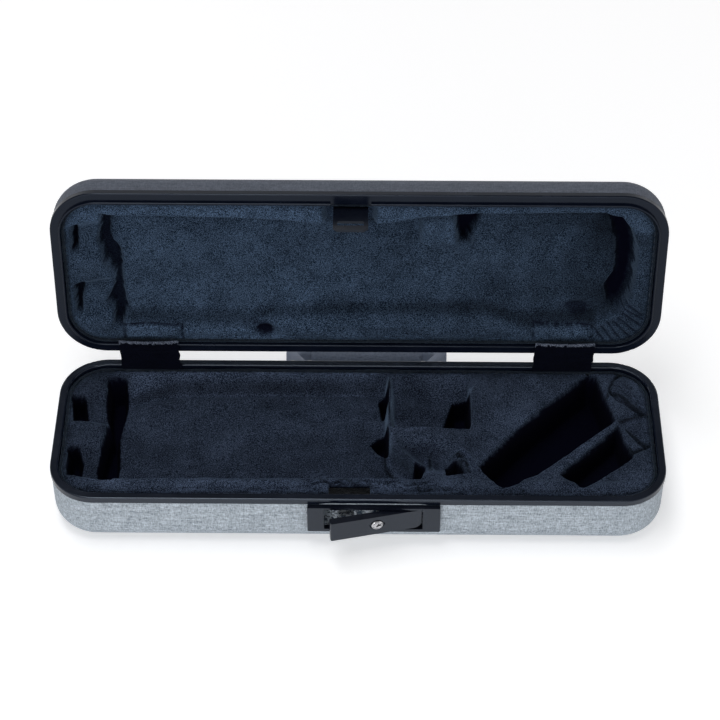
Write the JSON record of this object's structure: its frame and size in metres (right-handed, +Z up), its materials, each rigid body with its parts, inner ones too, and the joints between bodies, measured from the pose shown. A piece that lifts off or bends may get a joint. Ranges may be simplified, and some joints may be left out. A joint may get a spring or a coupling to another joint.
{
  "type": "oboe case",
  "caption": "Open oboe case with a hinged lid, fitted velvet hollows, velvet hinge flaps, a swing-out latch lever with key lock and a carrying handle.",
  "frame": {"origin": "centre of the tray's flat underside", "axes": "+X along the case, with the bell hollow at +X; -Y towards the latch; +Z up"},
  "size_m": [0.36, 0.1679, 0.1654],
  "materials": {
    "linen": "woven cover on a moulded wall",
    "rim_black": "satin",
    "foam": "open-cell foam",
    "velvet": "velvet",
    "latch_black": "satin",
    "latch_bright": "bright",
    "steel": "brushed",
    "steel_dark": "blackened",
    "grip": "matt"
  },
  "bodies": {
    "base": {"base_shell": "linen", "base_rim": "rim_black", "base_foam_end": "foam", "base_foam_well": "foam", "base_foam_seats": "foam", "base_foam_bell": "foam", "base_lining": "velvet", "base_piping": "velvet", "latch_plate": "latch_black", "latch_housing": "latch_bright", "latch_pin": "steel", "latch_screws": "steel_dark", "hinge_base_leaf_left": "steel_dark", "hinge_base_leaf_right": "steel_dark", "hinge_pin_left": "steel", "hinge_pin_right": "steel", "hinge_base_rivets": "steel", "hinge_cover_left": "velvet", "hinge_cover_right": "velvet", "handle_bracket_left": "latch_black", "handle_bracket_right": "latch_black", "handle_pins": "steel", "handle_bracket_screws": "steel_dark"},
    "lid": {"lid_shell": "linen", "lid_rim": "rim_black", "lid_foam": "foam", "lid_lining": "velvet", "lid_piping": "velvet", "striker_plate": "latch_black", "striker_screws": "steel_dark", "hinge_lid_leaf_left": "steel_dark", "hinge_lid_leaf_right": "steel_dark", "hinge_lid_rivets": "steel"},
    "lever": {"latch_lever": "latch_black", "latch_hook": "steel"},
    "lock": {"lock_cylinder": "latch_bright", "lock_cam": "steel"},
    "handle": {"handle_bail": "latch_black", "handle_grip": "grip"}
  },
  "joints": [
    {"name": "lid_hinge", "type": "hinge", "parent": "base", "child": "lid", "pos_m": [0, 0.0586, 0.0505], "axis": [1, 0, 0], "range_deg": [0, 98.9], "deforming": ["hinge_cover_left", "hinge_cover_right"]},
    {"name": "latch_pivot", "type": "hinge", "parent": "base", "child": "lever", "pos_m": [0.0326, -0.0553, 0.026], "axis": [0, 0, 1], "range_deg": [-12.4, 50]},
    {"name": "key_turn", "type": "hinge", "parent": "lever", "child": "lock", "pos_m": [0.01147, -0.06353, 0.0269], "axis": [0.2147, -0.9767, 0], "range_deg": [0, 90]},
    {"name": "handle_pivot", "type": "hinge", "parent": "base", "child": "handle", "pos_m": [0.0043, 0.0625, 0.026], "axis": [1, 0, 0], "range_deg": [0, 48]}
  ]
}
